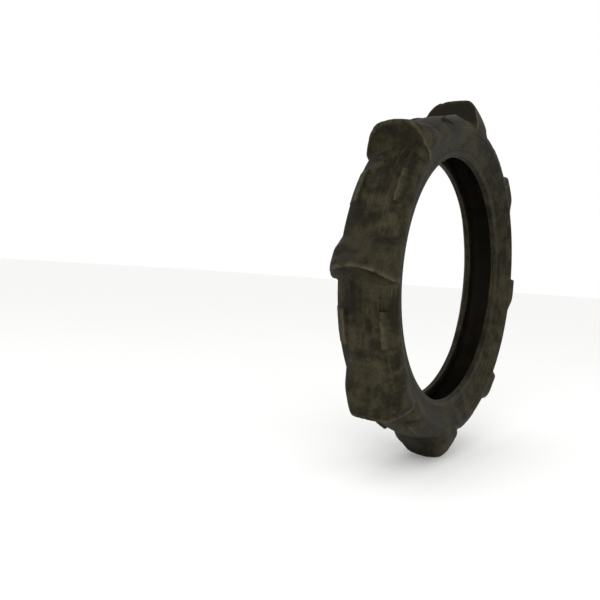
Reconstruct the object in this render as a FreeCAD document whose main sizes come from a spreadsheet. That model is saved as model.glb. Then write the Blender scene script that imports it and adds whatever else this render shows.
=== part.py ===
"""Rear sand-paddle tire as separate pieces: casing layers, beads, rubber skins, paddles and shoulder ribs.

The wheel axis is Y, the wheel centre is the origin, +Z is up and +X is forward.  Every ring is a
meridian outline turned about Y; "out" is the distance from the axis and "along" the position on it.
"""

import FreeCAD, Part
import math
import os
import Sketcher

DOC = FreeCAD.newDocument("sand_paddle_tire")

# ---------------------------------------------------------------- driving sizes, in mm and degrees
SIZES = {
    # bead and rim seat
    "seat_out": 241.3,          # radius of the 19 inch rim's bead seat
    "toe_along": 25.0,          # inner edge of the bead's seating land
    "chafer_base": 2.0,         # chafer thickness under the bead
    "chafer_leg": 1.4,          # chafer thickness outside the bead
    "heel_round": 3.0,          # rounding of the bead heel
    "flange_height": 11.7,      # top of the rim flange groove, above the seat
    "flange_step": 2.0,         # how far the groove's top stands outside the heel
    "wire_size": 1.3,           # bead wire diameter
    "wire_gap": 0.2,            # rubber between neighbouring wires
    "wire_count": 3,            # wires each way in the square bundle
    "wrap_gap": 0.1,            # clearance between the wires and their wrap
    "wrap_thick": 0.8,          # fabric wrap round the wires
    "filler_height": 30.7,      # tip of the bead filler, above the seat
    # outer skin of the carcass
    "crown_height": 78.7,       # tread crown between the paddles, above the seat
    "wide_share": 0.657,        # where the tire is widest, as a share of the crown's height
    "wide_along": 57.0,         # half the carcass width
    "shoulder_share": 0.667,    # outer rounding above it, as a share of the rise to the crown
    "flank_arc": 14.0,          # outer rounding below the widest point
    "sidewall_thick": 4.0,      # rubber over the casing at the widest point
    # casing
    "crown_rubber": 7.9,        # rubber and breaker over the casing at the crown
    "casing_shoulder_share": 0.68,  # the casing's own rounding, as a share of its rise
    "casing_turn_height": 15.7,  # where the casing leaves the bead, above the seat
    "ply_thick": 1.4,
    "liner_thick": 1.2,
    "breaker_thick": 1.3,
    "breaker_half": 30.0,       # half the breaker's width
    "undertread_thick": 3.0,    # undertread and breaker together
    "tread_split": 50.0,        # angle of the tread edge, from the axis direction
    # paddles
    "paddle_count": 8,
    "paddle_clock": 1.7,        # turn of the first paddle's lip from +X towards +Z
    "lip_height": 41.0,         # paddle lip above the crown
    "lip_half": 33.0,           # half the straight length of the lip
    "wing_rise": 15.0,          # end of the wing's rounded edge, above the widest point
    "wing_spread": 3.5,         # how far the wing stands outside the carcass
    "wing_arc": 66.0,           # rounding from lip to wing
    "wing_foot_drop": 12.0,     # foot of the wing, below the widest point
    "wing_foot_sunk": 7.0,      # and how far it is sunk in the sidewall
    "root_sunk": 19.0,          # how far a paddle's hidden root lies inside the widest point
    "scoop_depth": 90.0,        # half-length of the hollow, along the tread
    "scoop_width": 120.0,       # half-width of the hollow
    "scoop_height": 90.0,       # half-height of the hollow
    # shoulder ribs
    "rib_start_share": 0.54,    # crown edge of a rib, as a share of the half-width
    "rib_start_height": 6.0,    # height of that edge above the crown
    "rib_mid_share": 0.77,      # where the rib bends down to the shoulder
    "rib_mid_height": 4.0,
    "rib_end_steep": 3.0,       # angle by which a rib meets the shoulder short of grazing it
    "rib_length": 12.8,         # turn covered by one rib
    "rib_shift": 4.3,           # turn of a rib's middle past the half-way point between two lips
}

# Stations along the tread from a paddle's leading tips to the end of its ramp, then how far the
# lip and the wings have risen there, as shares of their full height.
PADDLE_STATIONS = [(-20.0, 1.0, 0.97), (-9.0, 1.0, 0.99), (2.0, 0.98, 1.0), (13.0, 0.82, 1.0),
                   (24.0, 0.6, 0.97), (35.0, 0.42, 0.88), (46.0, 0.26, 0.62), (57.0, 0.1, 0.3)]
SUNK = 8.0          # depth of a paddle's roots below the skin, before they are trimmed to it


def tangent_join(half_width, rise, small_arc):
    """Radius of the crown arc that meets a shoulder arc smoothly, and where they meet."""
    big_arc = (half_width ** 2 + rise ** 2 - 2 * half_width * small_arc) / (2 * (rise - small_arc))
    across = half_width - small_arc
    up = big_arc - rise
    length = big_arc - small_arc
    return big_arc, across / length, up / length


def tangent_from(along, out, centre_along, centre_out, radius):
    """Angle, from the axis direction, of the line from a point to the outside of a circle."""
    across = centre_along - along
    up = centre_out - out
    return math.atan2(up, across) - math.asin(radius / math.hypot(across, up))


def bead_sizes(s, d):
    """The wire bundle, its wrap and the chafer round it."""
    d["seat_top"] = s["seat_out"] + s["chafer_base"]
    d["bead_along"] = s["toe_along"] + 2 * s["ply_thick"] + s["liner_thick"]
    d["wire_pitch"] = s["wire_size"] + s["wire_gap"]
    bundle = (s["wire_count"] - 1) * d["wire_pitch"] + s["wire_size"] + 2 * s["wrap_gap"]
    wrap_side = bundle + 2 * s["wrap_thick"]
    d["wrap_top"] = d["seat_top"] + wrap_side
    d["wrap_far"] = d["bead_along"] + wrap_side
    d["wrap_hole_low"] = d["seat_top"] + s["wrap_thick"]
    d["wrap_hole_top"] = d["wrap_top"] - s["wrap_thick"]
    d["wrap_hole_near"] = d["bead_along"] + s["wrap_thick"]
    d["wrap_hole_far"] = d["wrap_far"] - s["wrap_thick"]
    d["wire_radius"] = s["wire_size"] / 2
    d["wire_low"] = d["wrap_hole_low"] + s["wrap_gap"] + d["wire_radius"]
    d["wire_near"] = d["wrap_hole_near"] + s["wrap_gap"] + d["wire_radius"]
    d["heel_along"] = d["wrap_far"] + s["chafer_leg"]
    d["heel_top"] = s["seat_out"] + s["heel_round"]
    d["heel_in"] = d["heel_along"] - s["heel_round"]
    d["flange_out"] = s["seat_out"] + s["flange_height"]
    d["flange_along"] = d["heel_along"] + s["flange_step"]


def skin_sizes(s, d):
    """The outer skin: crown arc, shoulder arc, flank arc and the line down to the flange."""
    d["crown_out"] = s["seat_out"] + s["crown_height"]
    d["wide_out"] = s["seat_out"] + s["wide_share"] * s["crown_height"]
    rise = d["crown_out"] - d["wide_out"]
    d["shoulder_arc"] = s["shoulder_share"] * rise
    arc, across, up = tangent_join(s["wide_along"], rise, d["shoulder_arc"])
    d["skin_crown_arc"] = arc
    centre = d["crown_out"] - arc
    d["skin_join_along"] = arc * across
    d["skin_join_out"] = centre + arc * up
    flank_centre = s["wide_along"] - s["flank_arc"]
    angle = tangent_from(d["flange_along"], d["flange_out"], flank_centre, d["wide_out"], s["flank_arc"])
    d["skin_flank_along"] = flank_centre + s["flank_arc"] * math.sin(angle)
    d["skin_flank_out"] = d["wide_out"] - s["flank_arc"] * math.cos(angle)


def casing_sizes(s, d):
    """Casing boundaries: line 0 is the outside of the outer ply, line 3 the inside of the liner."""
    wide = s["wide_along"] - s["sidewall_thick"]
    crown = d["crown_out"] - s["crown_rubber"]
    d["casing_turn_out"] = s["seat_out"] + s["casing_turn_height"]
    d["filler_out"] = s["seat_out"] + s["filler_height"]
    rise = crown - d["wide_out"]
    d["casing_shoulder_arc"] = s["casing_shoulder_share"] * rise
    arc, across, up = tangent_join(wide, rise, d["casing_shoulder_arc"])
    flank_centre = s["wide_along"] - s["flank_arc"]
    flank_arc = s["flank_arc"] - s["sidewall_thick"]
    angle = tangent_from(d["bead_along"], d["casing_turn_out"], flank_centre, d["wide_out"], flank_arc)
    depths = [0.0, s["ply_thick"], 2 * s["ply_thick"], 2 * s["ply_thick"] + s["liner_thick"]]
    for line, depth in enumerate(depths):
        name = f"line_{line}_"
        d[name + "crown_arc"] = arc - depth
        d[name + "shoulder_arc"] = d["casing_shoulder_arc"] - depth
        d[name + "flank_arc"] = flank_arc - depth
        d[name + "crown_out"] = crown - depth
        d[name + "join_along"] = (arc - depth) * across
        d[name + "join_out"] = crown - arc + (arc - depth) * up
        d[name + "wide_along"] = wide - depth
        d[name + "flank_along"] = flank_centre + (flank_arc - depth) * math.sin(angle)
        d[name + "flank_out"] = d["wide_out"] - (flank_arc - depth) * math.cos(angle)
        d[name + "bead_along"] = d["bead_along"] - depth
        d[name + "bead_out"] = d["casing_turn_out"] + depth * math.tan((math.pi / 2 - angle) / 2)
    d["filler_along"] = d["bead_along"] + (d["filler_out"] - d["casing_turn_out"]) / math.tan(angle)
    share = (d["flange_out"] - d["wrap_top"]) / (d["filler_out"] - d["wrap_top"])
    d["filler_at_flange"] = d["wrap_far"] + share * (d["filler_along"] - d["wrap_far"])


def tread_sizes(s, d):
    """Breaker, undertread and the edge between tread and sidewall."""
    arc = d["line_0_crown_arc"]
    centre = d["line_0_crown_out"] - arc
    d["breaker_in_out"] = centre + math.sqrt(arc ** 2 - s["breaker_half"] ** 2)
    share = (arc + s["breaker_thick"]) / arc
    d["breaker_top_arc"] = arc + s["breaker_thick"]
    d["breaker_top_along"] = s["breaker_half"] * share
    d["breaker_top_out"] = centre + (d["breaker_in_out"] - centre) * share
    d["under_crown_arc"] = arc + s["undertread_thick"]
    d["under_shoulder_arc"] = d["casing_shoulder_arc"] + s["undertread_thick"]
    share = d["under_crown_arc"] / arc
    d["under_join_along"] = d["line_0_join_along"] * share
    d["under_join_out"] = centre + (d["line_0_join_out"] - centre) * share
    split = math.radians(s["tread_split"])
    casing_centre = d["line_0_wide_along"] - d["casing_shoulder_arc"]
    shift = casing_centre - (s["wide_along"] - d["shoulder_arc"])
    half_chord = math.sqrt(d["shoulder_arc"] ** 2 - (shift * math.sin(split)) ** 2)
    reaches = {
        "split_in": d["casing_shoulder_arc"],
        "split_mid": d["under_shoulder_arc"],
        "split_top": half_chord - shift * math.cos(split),
    }
    for name, reach in reaches.items():
        d[name + "_along"] = casing_centre + reach * math.cos(split)
        d[name + "_out"] = d["wide_out"] + reach * math.sin(split)


def paddle_sizes(s, d):
    """Paddle sections, from roots sunk in the carcass to the full outline."""
    d["lip_out"] = d["crown_out"] + s["lip_height"]
    d["wing_foot_out"] = d["wide_out"] - s["wing_foot_drop"]
    d["wing_foot_along"] = s["wide_along"] - s["wing_foot_sunk"]
    d["root_along"] = s["wide_along"] - s["root_sunk"]
    d["root_floor"] = d["wing_foot_out"] - 2 * SUNK
    lip = (d["lip_out"], s["lip_half"])
    lip_root = (d["crown_out"] - SUNK, s["lip_half"] - SUNK)
    wing = (d["wide_out"] + s["wing_rise"], s["wide_along"] + s["wing_spread"])
    wing_root = (d["wide_out"] + SUNK, s["wide_along"] - SUNK)
    for index, (_, lip_share, wing_share) in enumerate(PADDLE_STATIONS):
        corners = (("lip", lip_root, lip, lip_share), ("wing", wing_root, wing, wing_share))
        for corner, root, full, share in corners:
            d[f"rise_{index}_{corner}_out"] = root[0] + share * (full[0] - root[0])
            d[f"rise_{index}_{corner}_along"] = root[1] + share * (full[1] - root[1])


def rib_sizes(s, d):
    """Corners of a shoulder rib: two above the crown arc and one on the shoulder arc."""
    arc = d["skin_crown_arc"]
    centre = d["crown_out"] - arc
    d["rib_start_along"] = s["rib_start_share"] * s["wide_along"]
    d["rib_start_out"] = centre + math.sqrt(arc ** 2 - d["rib_start_along"] ** 2)
    d["rib_top_out"] = d["rib_start_out"] + s["rib_start_height"]
    d["rib_mid_along"] = s["rib_mid_share"] * s["wide_along"]
    d["rib_mid_out"] = centre + math.sqrt(arc ** 2 - d["rib_mid_along"] ** 2) + s["rib_mid_height"]
    across = d["rib_mid_along"] - (s["wide_along"] - d["shoulder_arc"])
    rise = d["rib_mid_out"] - d["wide_out"]
    grazing = math.atan2(rise, across) - math.acos(d["shoulder_arc"] / math.hypot(across, rise))
    end = grazing + math.radians(s["rib_end_steep"])
    d["rib_end_along"] = s["wide_along"] - d["shoulder_arc"] * (1 - math.cos(end))
    d["rib_end_out"] = d["wide_out"] + d["shoulder_arc"] * math.sin(end)


def derived_sizes(s):
    """Positions that follow from the driving sizes: the corners of every layer boundary."""
    d = {}
    for group in (bead_sizes, skin_sizes, casing_sizes, tread_sizes, paddle_sizes, rib_sizes):
        group(s, d)
    return d


def fill_sheet():
    """One row for each size: its name and its plain number, readable by that name."""
    sheet = DOC.addObject("Spreadsheet::Sheet", "sizes")
    values = dict(SIZES)
    values.update(derived_sizes(SIZES))
    for row, (name, value) in enumerate(values.items(), start=1):
        sheet.set(f"A{row}", name)
        sheet.set(f"B{row}", repr(value))
        sheet.setAlias(f"B{row}", name)
    DOC.recompute()
    return sheet


SHEET = fill_sheet()


def number(expression):
    """Value of a cell name, with an optional leading minus."""
    if expression.startswith("-"):
        return -float(SHEET.get(expression[1:]))
    return float(SHEET.get(expression))


def bind(item, path, expression):
    """Ties a property or constraint to a cell."""
    sign = "-" if expression.startswith("-") else ""
    item.setExpression(path, f"{sign}sizes.{expression.lstrip('-')}")


def new_body(label):
    body = DOC.addObject("PartDesign::Body", label)
    body.Label = label
    body.AllowCompound = True
    return body


def new_sketch(body, name, height=0.0):
    """A sketch in the body's XY plane: its x is the distance out, its y the position along the axis."""
    sketch = body.newObject("Sketcher::SketchObject", name)
    plane = next(item for item in body.Origin.OriginFeatures if item.Role == "XY_Plane")
    sketch.AttachmentSupport = [(plane, "")]
    sketch.MapMode = "FlatFace"
    sketch.AttachmentOffset = FreeCAD.Placement(FreeCAD.Vector(0, 0, height), FreeCAD.Rotation())
    return sketch


def arc_between(start, end, radius, turn):
    """The short arc of that radius from start to end; turn is 1 for anticlockwise travel, else -1."""
    chord = end - start
    middle = (start + end) * 0.5
    left = FreeCAD.Vector(-chord.y, chord.x, 0).normalize()
    offset = math.sqrt(radius ** 2 - (chord.Length / 2) ** 2)
    centre = middle + left * offset * turn
    first, last = (start, end) if turn > 0 else (end, start)
    angles = [math.atan2(p.y - centre.y, p.x - centre.x) for p in (first, last)]
    return Part.ArcOfCircle(Part.Circle(centre, FreeCAD.Vector(0, 0, 1), radius), *angles)


def bound_constraint(sketch, name, constraint, expression):
    """Adds a constraint under a name and ties it to a cell."""
    index = sketch.addConstraint(constraint)
    sketch.renameConstraint(index, name)
    bind(sketch, f"Constraints.{name}", expression)


def draw_outline(sketch, corners, prefix="corner"):
    """Draws one closed outline with every corner and arc tied to the sheet.

    A corner is (out, along) for a straight edge to the next corner, or (out, along, radius, turn)
    for an arc to it; out, along and radius are cell names.
    """
    points = [FreeCAD.Vector(number(c[0]), number(c[1]), 0) for c in corners]
    edges = []
    for index, corner in enumerate(corners):
        start = points[index]
        end = points[(index + 1) % len(corners)]
        if len(corner) == 2:
            geometry = Part.LineSegment(start, end)
            begin_at, end_at = 1, 2
        else:
            geometry = arc_between(start, end, number(corner[2]), corner[3])
            begin_at, end_at = (1, 2) if corner[3] > 0 else (2, 1)
        edges.append((sketch.addGeometry(geometry, False), begin_at, end_at))
    for index, corner in enumerate(corners):
        edge, begin_at, _ = edges[index]
        before, _, before_end = edges[index - 1]
        sketch.addConstraint(Sketcher.Constraint("Coincident", before, before_end, edge, begin_at))
        name = f"{prefix}_{index}"
        place = Sketcher.Constraint("DistanceX", edge, begin_at, points[index].x)
        bound_constraint(sketch, name + "_out", place, corner[0])
        place = Sketcher.Constraint("DistanceY", edge, begin_at, points[index].y)
        bound_constraint(sketch, name + "_along", place, corner[1])
        if len(corner) > 2:
            size = Sketcher.Constraint("Radius", edge, number(corner[2]))
            bound_constraint(sketch, name + "_radius", size, corner[2])


def turn_about_axis(body, sketch, angle_cell=None):
    """Revolves a sketch about the wheel axis: all the way, or centred on it for part of a turn."""
    turned = body.newObject("PartDesign::Revolution", "turned")
    turned.Profile = sketch
    turned.ReferenceAxis = (sketch, ["V_Axis"])
    turned.Angle = 360.0
    if angle_cell:
        turned.Midplane = True
        bind(turned, "Angle", angle_cell)
    return turned


def ring(label, outlines):
    """A full ring with the given meridian outlines."""
    body = new_body(label)
    sketch = new_sketch(body, "meridian")
    for index, corners in enumerate(outlines):
        draw_outline(sketch, corners, f"outline_{index}")
    turn_about_axis(body, sketch)
    return body


def minus(cell):
    return cell[1:] if cell.startswith("-") else "-" + cell


def side_ring(name, outlines):
    """The same ring on both sides: along +Y for the left one, turned over for the right one."""
    left = ring(f"{name}_left", outlines)
    right = ring(f"{name}_right", outlines)
    right.Placement = FreeCAD.Placement(FreeCAD.Vector(), FreeCAD.Rotation(FreeCAD.Vector(0, 0, 1), 180))
    return left, right


def across_both(rising, top_arc, turn):
    """Corners from the -Y end to the +Y end of a line given by its +Y half, read from the bead up.

    rising holds the +Y half's corners, each with the arc that leads to the next one; top_arc is the
    radius over the crown.
    """
    falling = []
    for index in range(len(rising) - 1, -1, -1):
        out, along = rising[index][:2]
        arc = rising[index - 1][2:] if index > 0 else ()
        falling.append((out, along) + tuple(arc))
    lower = []
    for index, corner in enumerate(rising):
        out, along = corner[:2]
        arc = (corner[2], turn) if len(corner) > 2 else ()
        lower.append((out, minus(along)) + arc)
    last = lower[-1]
    lower[-1] = last[:2] + (top_arc, turn)
    upper = []
    for corner in falling:
        arc = (corner[2], turn) if len(corner) > 2 else ()
        upper.append(corner[:2] + arc)
    return lower + upper


def reversed_line(corners, turn):
    """The same line walked the other way, its arcs turning the other way."""
    back = []
    for index in range(len(corners) - 1, -1, -1):
        arc = corners[index - 1][2:] if index > 0 else ()
        back.append(corners[index][:2] + ((arc[0], turn) if arc else ()))
    return back


def casing_line(line):
    """Half of one casing boundary, from the chafer up to the crown arc."""
    name = f"line_{line}_"
    return [
        ("seat_top", name + "bead_along"),
        (name + "bead_out", name + "bead_along"),
        (name + "flank_out", name + "flank_along", name + "flank_arc"),
        ("wide_out", name + "wide_along", name + "shoulder_arc"),
        (name + "join_out", name + "join_along"),
    ]


def casing_layer(label, outer, inner):
    """A fabric or rubber layer between two casing boundaries, from bead to bead."""
    outside = across_both(casing_line(outer), f"line_{outer}_crown_arc", 1)
    inside = across_both(casing_line(inner), f"line_{inner}_crown_arc", 1)
    return ring(label, [outside + reversed_line(inside, -1)])


def make_breaker():
    outside = [("breaker_top_out", "-breaker_top_along", "breaker_top_arc", 1),
               ("breaker_top_out", "breaker_top_along")]
    inside = [("breaker_in_out", "breaker_half", "line_0_crown_arc", -1),
              ("breaker_in_out", "-breaker_half")]
    return ring("breaker_ply", [outside + inside])


def make_undertread():
    outside = across_both([("split_mid_out", "split_mid_along", "under_shoulder_arc"),
                           ("under_join_out", "under_join_along")], "under_crown_arc", 1)
    inside = [
        ("split_in_out", "split_in_along", "line_0_shoulder_arc", -1),
        ("line_0_join_out", "line_0_join_along", "line_0_crown_arc", -1),
        ("breaker_in_out", "breaker_half"),
        ("breaker_top_out", "breaker_top_along", "breaker_top_arc", -1),
        ("breaker_top_out", "-breaker_top_along"),
        ("breaker_in_out", "-breaker_half", "line_0_crown_arc", -1),
        ("line_0_join_out", "-line_0_join_along", "line_0_shoulder_arc", -1),
        ("split_in_out", "-split_in_along"),
    ]
    return ring("undertread", [outside + inside])


def make_tread_cap():
    outside = across_both([("split_top_out", "split_top_along", "shoulder_arc"),
                           ("skin_join_out", "skin_join_along")], "skin_crown_arc", 1)
    inside = across_both([("split_mid_out", "split_mid_along", "under_shoulder_arc"),
                          ("under_join_out", "under_join_along")], "under_crown_arc", 1)
    return ring("tread_cap", [outside + reversed_line(inside, -1)])


def make_bead_cores():
    """A square bundle of separate wire hoops in each bead."""
    bodies = []
    for side, half_turn in (("left", 0), ("right", 180)):
        body = new_body(f"bead_core_{side}")
        sketch = new_sketch(body, "wires")
        for row in range(SIZES["wire_count"]):
            for column in range(SIZES["wire_count"]):
                out = number("wire_low") + row * number("wire_pitch")
                along = number("wire_near") + column * number("wire_pitch")
                centre = FreeCAD.Vector(out, along, 0)
                circle = Part.Circle(centre, FreeCAD.Vector(0, 0, 1), number("wire_radius"))
                wire = sketch.addGeometry(circle, False)
                places = (("X", out, "wire_low", row), ("Y", along, "wire_near", column))
                for axis, value, cell, steps in places:
                    index = sketch.addConstraint(Sketcher.Constraint(f"Distance{axis}", wire, 3, value))
                    path = f"Constraints[{index}]"
                    sketch.setExpression(path, f"sizes.{cell} + {steps} * sizes.wire_pitch")
                index = sketch.addConstraint(Sketcher.Constraint("Radius", wire, number("wire_radius")))
                sketch.setExpression(f"Constraints[{index}]", "sizes.wire_radius")
        turn_about_axis(body, sketch)
        turned_over = FreeCAD.Rotation(FreeCAD.Vector(0, 0, 1), half_turn)
        body.Placement = FreeCAD.Placement(FreeCAD.Vector(), turned_over)
        bodies.append(body)
    return bodies


def make_bead_wraps():
    outside = [("seat_top", "bead_along"), ("wrap_top", "bead_along"),
               ("wrap_top", "wrap_far"), ("seat_top", "wrap_far")]
    hole = [("wrap_hole_low", "wrap_hole_near"), ("wrap_hole_top", "wrap_hole_near"),
            ("wrap_hole_top", "wrap_hole_far"), ("wrap_hole_low", "wrap_hole_far")]
    return side_ring("bead_wrap", [outside, hole])


def make_bead_fillers():
    return side_ring("bead_filler", [[("wrap_top", "bead_along"), ("casing_turn_out", "bead_along"),
                                      ("filler_out", "filler_along"), ("wrap_top", "wrap_far")]])


def make_chafers():
    """The hard strip that sits on the rim: land, rounded heel and outer leg."""
    return side_ring("chafer", [[
        ("seat_out", "toe_along"),
        ("seat_top", "toe_along"),
        ("seat_top", "wrap_far"),
        ("wrap_top", "wrap_far"),
        ("flange_out", "filler_at_flange"),
        ("flange_out", "flange_along"),
        ("heel_top", "heel_along", "heel_round", 1),
        ("seat_out", "heel_in"),
    ]])


def make_sidewalls():
    return side_ring("sidewall", [[
        ("flange_out", "filler_at_flange"),
        ("filler_out", "filler_along"),
        ("line_0_flank_out", "line_0_flank_along", "line_0_flank_arc", -1),
        ("wide_out", "line_0_wide_along", "line_0_shoulder_arc", -1),
        ("split_in_out", "split_in_along"),
        ("split_top_out", "split_top_along", "shoulder_arc", 1),
        ("wide_out", "wide_along", "flank_arc", 1),
        ("skin_flank_out", "skin_flank_along"),
        ("flange_out", "flange_along"),
    ]])


def about_axis(turn, first=FreeCAD.Rotation()):
    """A placement turned about the wheel axis, from +X towards +Z, after a first rotation."""
    return FreeCAD.Placement(FreeCAD.Vector(), FreeCAD.Rotation(FreeCAD.Vector(0, 1, 0), -turn) * first)


def make_ribs():
    """Eight short ribs round each shoulder, one between every two paddles."""
    bodies = []
    for side, flip in (("left", 0), ("right", 180)):
        body = new_body(f"shoulder_ribs_{side}")
        sketch = new_sketch(body, "section")
        draw_outline(sketch, [
            ("rib_top_out", "rib_start_along"),
            ("rib_mid_out", "rib_mid_along"),
            ("rib_end_out", "rib_end_along", "shoulder_arc", -1),
            ("skin_join_out", "skin_join_along", "skin_crown_arc", -1),
            ("rib_start_out", "rib_start_along"),
        ])
        rib = turn_about_axis(body, sketch, "rib_length")
        pattern = body.newObject("PartDesign::PolarPattern", "round_the_shoulder")
        pattern.Originals = [rib]
        pattern.Axis = (sketch, ["V_Axis"])
        pattern.Angle = 360.0
        bind(pattern, "Occurrences", "paddle_count")
        body.Tip = pattern
        turned_over = FreeCAD.Rotation(FreeCAD.Vector(1, 0, 0), flip)
        half_way = 180.0 / SIZES["paddle_count"]
        turn = SIZES["paddle_clock"] + half_way + SIZES["rib_shift"]
        body.Placement = about_axis(turn, turned_over)
        bodies.append(body)
    return bodies


def make_carcass_form():
    """The solid inside the outer skin, used only to trim the paddles to it."""
    return ring("carcass_form", [across_both([
        ("flange_out", "flange_along"),
        ("skin_flank_out", "skin_flank_along", "flank_arc"),
        ("wide_out", "wide_along", "shoulder_arc"),
        ("skin_join_out", "skin_join_along"),
    ], "skin_crown_arc", 1)])


def make_paddle_form():
    """One paddle at the +X position: a ramp lofted along +Z, hollowed on the -Z side, trimmed below."""
    body = new_body("paddle_block")
    sections = []
    for index, (station, _, _) in enumerate(PADDLE_STATIONS):
        sketch = new_sketch(body, f"section_{index}", station)
        lip = (f"rise_{index}_lip_out", f"rise_{index}_lip_along")
        wing = (f"rise_{index}_wing_out", f"rise_{index}_wing_along")
        draw_outline(sketch, [
            (lip[0], "-" + lip[1]),
            (lip[0], lip[1], "wing_arc", 1),
            wing,
            ("wing_foot_out", "wing_foot_along"),
            ("root_floor", "root_along"),
            ("root_floor", "-root_along"),
            ("wing_foot_out", "-wing_foot_along"),
            (wing[0], "-" + wing[1], "wing_arc", 1),
        ])
        sections.append(sketch)
    DOC.recompute()
    loft = body.newObject("PartDesign::AdditiveLoft", "ramp")
    loft.Profile = sections[0]
    loft.Sections = sections[1:]
    DOC.recompute()
    before = body.Shape.Volume
    scoop = body.newObject("PartDesign::SubtractiveEllipsoid", "scoop")
    plane = next(item for item in body.Origin.OriginFeatures if item.Role == "XY_Plane")
    scoop.AttachmentSupport = [(plane, "")]
    scoop.MapMode = "FlatFace"
    upright = FreeCAD.Rotation(FreeCAD.Vector(1, 0, 0), 90)
    scoop.AttachmentOffset = FreeCAD.Placement(FreeCAD.Vector(), upright)
    bind(scoop, "Radius1", "scoop_width")
    bind(scoop, "Radius2", "scoop_height")
    bind(scoop, "Radius3", "scoop_depth")
    bind(scoop, "AttachmentOffset.Base.x", "lip_out")
    bind(scoop, "AttachmentOffset.Base.z", "-scoop_depth")
    DOC.recompute()
    if body.Shape.Volume > 0.95 * before:
        raise RuntimeError("the scoop did not hollow the paddle")
    trimmed = DOC.addObject("Part::Cut", "paddle_form")
    trimmed.Base = body
    trimmed.Tool = make_carcass_form()
    return trimmed


def make_paddles():
    """The paddle form repeated round the wheel, one piece at a time."""
    form = make_paddle_form()
    DOC.recompute()
    paddles = []
    for index in range(SIZES["paddle_count"]):
        body = DOC.addObject("PartDesign::Body", f"paddle_{index + 1}")
        body.Label = f"paddle_{index + 1}"
        body.BaseFeature = form
        turn = SIZES["paddle_clock"] + index * 360.0 / SIZES["paddle_count"]
        body.Placement = about_axis(turn)
        paddles.append(body)
    return paddles


def build_tire():
    """Makes every sub-part and returns them in order, from the inside outwards."""
    return [
        casing_layer("inner_liner", 2, 3),
        casing_layer("body_ply_inner", 1, 2),
        casing_layer("body_ply_outer", 0, 1),
        make_breaker(),
        *make_bead_cores(),
        *make_bead_wraps(),
        *make_bead_fillers(),
        *make_chafers(),
        *make_sidewalls(),
        make_undertread(),
        make_tread_cap(),
        *make_ribs(),
        *make_paddles(),
    ]


def check_model(sub_parts):
    """Stops before anything is written if a feature failed or a sub-part has no sound shape."""
    for item in DOC.Objects:
        if "Invalid" in item.State or "Error" in item.State:
            raise RuntimeError(f"{item.Label} did not compute: {item.State}")
    for item in sub_parts:
        shape = item.Shape
        if shape.isNull() or not shape.isValid() or not shape.Solids:
            raise RuntimeError(f"{item.Label} has no sound shape")


def write_parts(sub_parts):
    os.makedirs("parts", exist_ok=True)
    for item in sub_parts:
        item.Shape.exportStep(os.path.join("parts", item.Label + ".step"))


SUB_PARTS = build_tire()
DOC.recompute()
check_model(SUB_PARTS)
write_parts(SUB_PARTS)
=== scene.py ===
"""Sand-paddle tire: detailed rubber pieces, their finishes, and a plain studio stage."""
import math

import bpy
from bpy.props import FloatProperty, FloatVectorProperty, IntProperty, PointerProperty
from bpy.types import Operator, Panel, PropertyGroup
from mathutils import Euler, Matrix, Vector, noise


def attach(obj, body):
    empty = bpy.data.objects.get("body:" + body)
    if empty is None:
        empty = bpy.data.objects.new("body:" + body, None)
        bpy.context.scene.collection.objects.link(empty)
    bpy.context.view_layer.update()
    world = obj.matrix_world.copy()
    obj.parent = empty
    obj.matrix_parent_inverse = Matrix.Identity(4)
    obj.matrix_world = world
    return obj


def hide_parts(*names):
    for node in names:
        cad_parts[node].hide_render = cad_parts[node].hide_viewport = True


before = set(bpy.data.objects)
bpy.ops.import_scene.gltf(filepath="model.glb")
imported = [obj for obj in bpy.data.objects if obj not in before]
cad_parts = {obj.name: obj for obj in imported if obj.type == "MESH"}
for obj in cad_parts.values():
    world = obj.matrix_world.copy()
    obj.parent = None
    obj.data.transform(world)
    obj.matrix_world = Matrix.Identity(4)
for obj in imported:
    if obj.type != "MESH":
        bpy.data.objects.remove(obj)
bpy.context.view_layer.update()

bl_info = {
    "name": "Sand Paddle Tire",
    "version": (1, 0, 0),
    "blender": (4, 5, 0),
    "location": "View3D > Sidebar > Tire",
    "description": "Builds a sand-paddle tire piece by piece, with its finishes and a studio stage",
    "category": "Add Mesh",
}

BODY = "root"
CHAFER_BASE = 0.002         # thickness of a chafer over the bead seat
TOE_ROUND = 0.0008          # rounding of the bead toe
LAND_START = 0.002          # distance from the toe to the seating land
HEEL_ROUND = 0.003          # rounding of the bead heel
LEG_START = 0.0032          # height of the leg's straight part above the seat
CHAFER_INNER = 0.0351       # inside of the chafer's leg, from the mid-plane
LEG_INNER = 0.0359          # where the chafer's leg and the sidewall meet inside
LEG_TURN_OUT = 0.2494       # radius where the inside of the leg bends outwards
UNDERTREAD = 0.003          # thickness of the cushion between casing and tread
LINER = 0.0012              # thickness of the inner liner
CASING_START = 0.272        # radius where the sidewall first lies on the casing
FLANK_SPAN = 0.027          # height of the finely divided flank above the bead leg
TREAD_SWELL = 0.00035       # unevenness of the tread
FLANK_SWELL = 0.0004        # unevenness of the flanks
LINER_RIPPLE = 0.00012      # ripple of the cords under the liner


# ---------------------------------------------------------------- sizes and colours
def metres(label, note, value):
    return FloatProperty(name=label, description=note, default=value, unit="LENGTH")


def degrees(label, note, value):
    return FloatProperty(name=label, description=note, default=math.radians(value), subtype="ANGLE")


def tint(label, note, value):
    return FloatVectorProperty(name=label, description=note, subtype="COLOR", size=3, default=value)


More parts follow.
